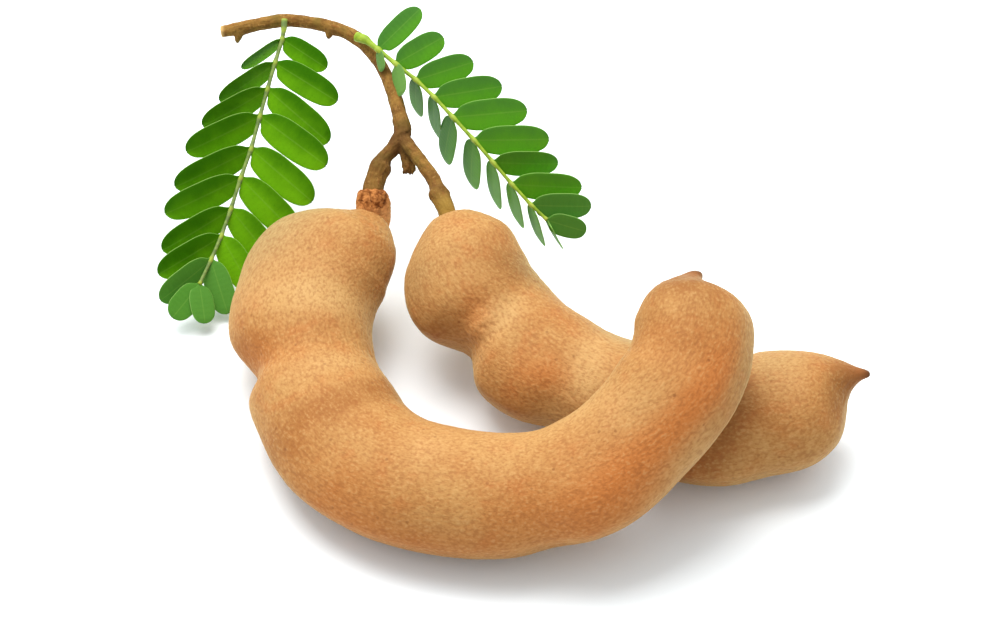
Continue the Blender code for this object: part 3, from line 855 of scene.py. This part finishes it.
def leaf_material(name, dark, lit_green, under, shine):
    """A leaflet whose green is painted light and shade, set for each leaflet: from a shaded deep green
    to a lit green, and lighter towards one edge. Shaded ones turn a duller bluish green, and the dull
    underside is painted darker on those deepest in shade. Its tone: the painted light, where it lies
    from one edge to the other, and above 0 on the upper side."""
    made, tree, shader, place, grain, tone = new_material(name, 0.5, Specular_IOR_Level=shine)
    patch = clouds(tree, stretched(tree, place, (3.0, 3.0, 3.0)), 2.0, 0.5)
    mottle = clouds(tree, stretched(tree, place, (0.35, 0.35, 0.35)), 2.0, 0.6)
    # Painted light and shade: the tone's light and a lighter far edge take the green from the shaded
    # dark one to the lit one. The patch adds random tone.
    glow = counted(tree, "ADD", tone["X"], spread(tree, tone["Y"], 1.0, -1.0, -0.34, 0.34))
    glow = counted(tree, "ADD", glow, spread(tree, patch, 0.3, 0.7, -0.08, 0.08))
    colour = mixed(tree, spread(tree, glow, 0.0, 1.0), dark, lit_green)
    # Painted shade: leaflets whose light is below 0 turn a duller bluish green.
    colour = mixed(tree, spread(tree, tone["X"], 0.0, -0.4), colour, paint(79, 132, 48))
    colour = mixed(tree, spread(tree, mottle, 0.55, 0.75, 0.0, 0.25), colour, dark)
    rib = counted(tree, "ABSOLUTE", tone["Y"], 0)
    colour = mixed(tree, spread(tree, rib, 0.07, 0.02, 0.0, 0.12), colour, paint(150, 190, 84))
    colour = mixed(tree, spread(tree, rib, 0.955, 1.0, 0.0, 0.6), colour, paint(168, 200, 112))
    # Painted shade: the undersides of leaflets whose light nears -1 are darker.
    below = mixed(tree, spread(tree, tone["X"], -0.5, -0.8), under, paint(92, 132, 60))
    colour = mixed(tree, spread(tree, tone["Z"], 0.0, -0.15), colour, below)
    plug(tree, shader.inputs["Base Color"], colour)
    veins = add_node(tree, "TexWave", {"wave_type": "BANDS", "bands_direction": "X"}, Scale=1.0,
                     Vector=stretched(tree, grain, (3.2, 4.4, 9)), Distortion=1.2).outputs["Fac"]
    bump = add_node(tree, "Bump", Strength=0.12, Distance=0.0001,
                    Height=counted(tree, "ADD", veins, counted(tree, "MULTIPLY", mottle, 0.5)))
    plug(tree, shader.inputs["Normal"], bump.outputs["Normal"])
    return made


def leaf_stem_material(name, dark, pale, joint):
    """A leaf's stem, with a yellower joint under each pair of leaflets, where its tone nears 1."""
    made, tree, shader, place, _, tone = new_material(name, 0.55, Specular_IOR_Level=0.25)
    patch = clouds(tree, stretched(tree, place, (1.2, 1.2, 1.2)), 2.0)
    colour = mixed(tree, spread(tree, patch, 0.35, 0.65), dark, pale)
    colour = mixed(tree, spread(tree, tone["X"], 0.3, 0.9), colour, joint)
    plug(tree, shader.inputs["Base Color"], colour)
    return made


left_lights = ((0.50, 0.35, -0.25), (0.32, 0.80, -0.45))
left_blade = leaf_material("left_leaf_blade", dark=paint(52, 108, 1), lit_green=paint(108, 170, 14),
                           under=paint(90, 136, 52), shine=0.05)
left_rib = leaf_stem_material("left_leaf_stem", dark=paint(98, 118, 62), pale=paint(128, 148, 74),
                              joint=paint(158, 176, 52))
left_leaf = leaf(LEFT_STEM, LEFT_LEAF_LEFT, LEFT_LEAF_RIGHT, left_lights, seed=5)
add_piece("left_leaf_blades", left_leaf, "left_leaf", "leaf_green", left_blade, left_rib)

# ---- Right leaf ----
# The second leaf stands out to the right. Its upper leaflets are spread, and the lower ones fold
# back and show their dull undersides. Its stem swells to a bright yellow-green joint at the twig.

RIGHT_STEM = [
    (-30.9, 55.2, 34.6, 1.00),
    (-29.0, 53.8, 34.9, 0.90),
    (-26.6, 51.0, 34.8, 0.62),
    (-23.1, 47.4, 34.2, 0.55),
    (-19.1, 44.0, 33.0, 0.52),
    (-15.6, 40.6, 31.6, 0.50),
    (-12.0, 36.8, 29.8, 0.50),
    (-7.9, 32.6, 27.6, 0.50),
    (-4.3, 29.0, 25.2, 0.48),
    (-0.7, 25.4, 22.8, 0.46),
    (3.0, 22.1, 20.4, 0.45),
    (6.0, 19.9, 18.6, 0.42),
]
RIGHT_LEAF_UPPER = [
    (84, 0, 24, 11.4, 4.5),
    (67, 0, 22, 10.6, 5.1),
    (57, 0, 22, 11.6, 5.3),
    (53, 0, 22, 13.3, 5.5),
    (51, 0, 20, 14.4, 5.8),
    (48, 0, 22, 14.4, 5.6),
    (48, 10, 42, 12.6, 5.5),
    (45, 5, 28, 13.4, 5.4),
    (44, 5, 26, 11.5, 5.1),
    (26, 5, 24, 7.8, 4.4),
]
RIGHT_LEAF_LOWER = [
    (34, 6, 145, 4.7, 2.5),
    (35, 0, 145, 6.8, 3.8),
    (74, 60, -26, 10.2, 4.8),
    (71, 65, -30, 12.6, 5.0),
    (78, 59, -22, 14.2, 5.6),
    (63, 60, -32, 14.6, 5.8),
    (49, 61, -50, 14.2, 5.6),
    (41, 60, -56, 13.3, 5.4),
    (35, 53, -66, 11.4, 5.0),
    (22, 48, -82, 8.2, 4.2),
]

right_lights = ((-1.0, 1.2, 0.6), (0.35, 0.85, -0.25))
right_blade = leaf_material("right_leaf_blade", dark=paint(65, 119, 38), lit_green=paint(85, 149, 24),
                            under=paint(122, 174, 80), shine=0.12)
right_rib = leaf_stem_material("right_leaf_stem", dark=paint(124, 152, 32), pale=paint(148, 172, 46),
                               joint=paint(170, 184, 76))
right_leaf = leaf(RIGHT_STEM, RIGHT_LEAF_LOWER, RIGHT_LEAF_UPPER, right_lights, seed=8)
add_piece("right_leaf_blades", right_leaf, "right_leaf", "leaf_green", right_blade, right_rib)

# ---- Floor, light and camera ----
# The sprig lies on a plain white table in soft daylight from above, behind and to the left. The
# camera looks down on it through a long lens.

floor_bm = bmesh.new()
bmesh.ops.create_grid(floor_bm, x_segments=1, y_segments=1, size=2.0)
floor_mesh = bpy.data.meshes.new("floor")
floor_bm.to_mesh(floor_mesh)
floor_bm.free()
floor = bpy.data.objects.new("floor", floor_mesh)
bpy.context.scene.collection.objects.link(floor)
white = bpy.data.materials.new("table_white")
white.use_nodes = True
table_values = {
    "Base Color": (0.87, 0.90, 0.93, 1),
    "Roughness": 0.8,
    "Specular IOR Level": 0.1,
    "Emission Color": (0.97, 1.0, 1.0, 1),
    "Emission Strength": 0.06,
}
for name, value in table_values.items():
    white.node_tree.nodes["Principled BSDF"].inputs[name].default_value = value
floor_mesh.materials.append(white)

world = bpy.data.worlds.new("daylight")
world.use_nodes = True
sky = world.node_tree
brightest = Vector((-0.1, 0.6, 0.8)).normalized()
toward = add_node(sky, "VectorMath", {"operation": "DOT_PRODUCT"})
plug(sky, toward.inputs[0], add_node(sky, "TexCoord").outputs["Generated"])
plug(sky, toward.inputs[1], brightest)
glow = add_node(sky, "MapRange", Value=toward.outputs["Value"], From_Min=-0.4, From_Max=1.0, To_Min=0.2,
                To_Max=1.5)
plug(sky, sky.nodes["Background"].inputs["Strength"], glow.outputs["Result"])
sky.nodes["Background"].inputs["Color"].default_value = (0.95, 1.0, 1.0, 1)
bpy.context.scene.world = world

lamp = bpy.data.lights.new("window", "AREA")
lamp.shape = "SQUARE"
lamp.size = 0.65
lamp.energy = 8.8
lamp.color = (1.0, 0.985, 0.96)
window = bpy.data.objects.new("window", lamp)
window.location = (-0.16, 0.26, 0.84)
window.rotation_euler = (-window.location).to_track_quat("-Z", "Y").to_euler()
bpy.context.scene.collection.objects.link(window)

lens = bpy.data.cameras.new("camera")
lens.lens = 100
lens.sensor_width = 36
camera = bpy.data.objects.new("camera", lens)
camera.location = (-0.001574, -0.36779, 0.37492)
camera.rotation_euler = (math.radians(45), 0, 0)
bpy.context.scene.collection.objects.link(camera)
bpy.context.scene.camera = camera
bpy.context.scene.view_settings.view_transform = "Standard"
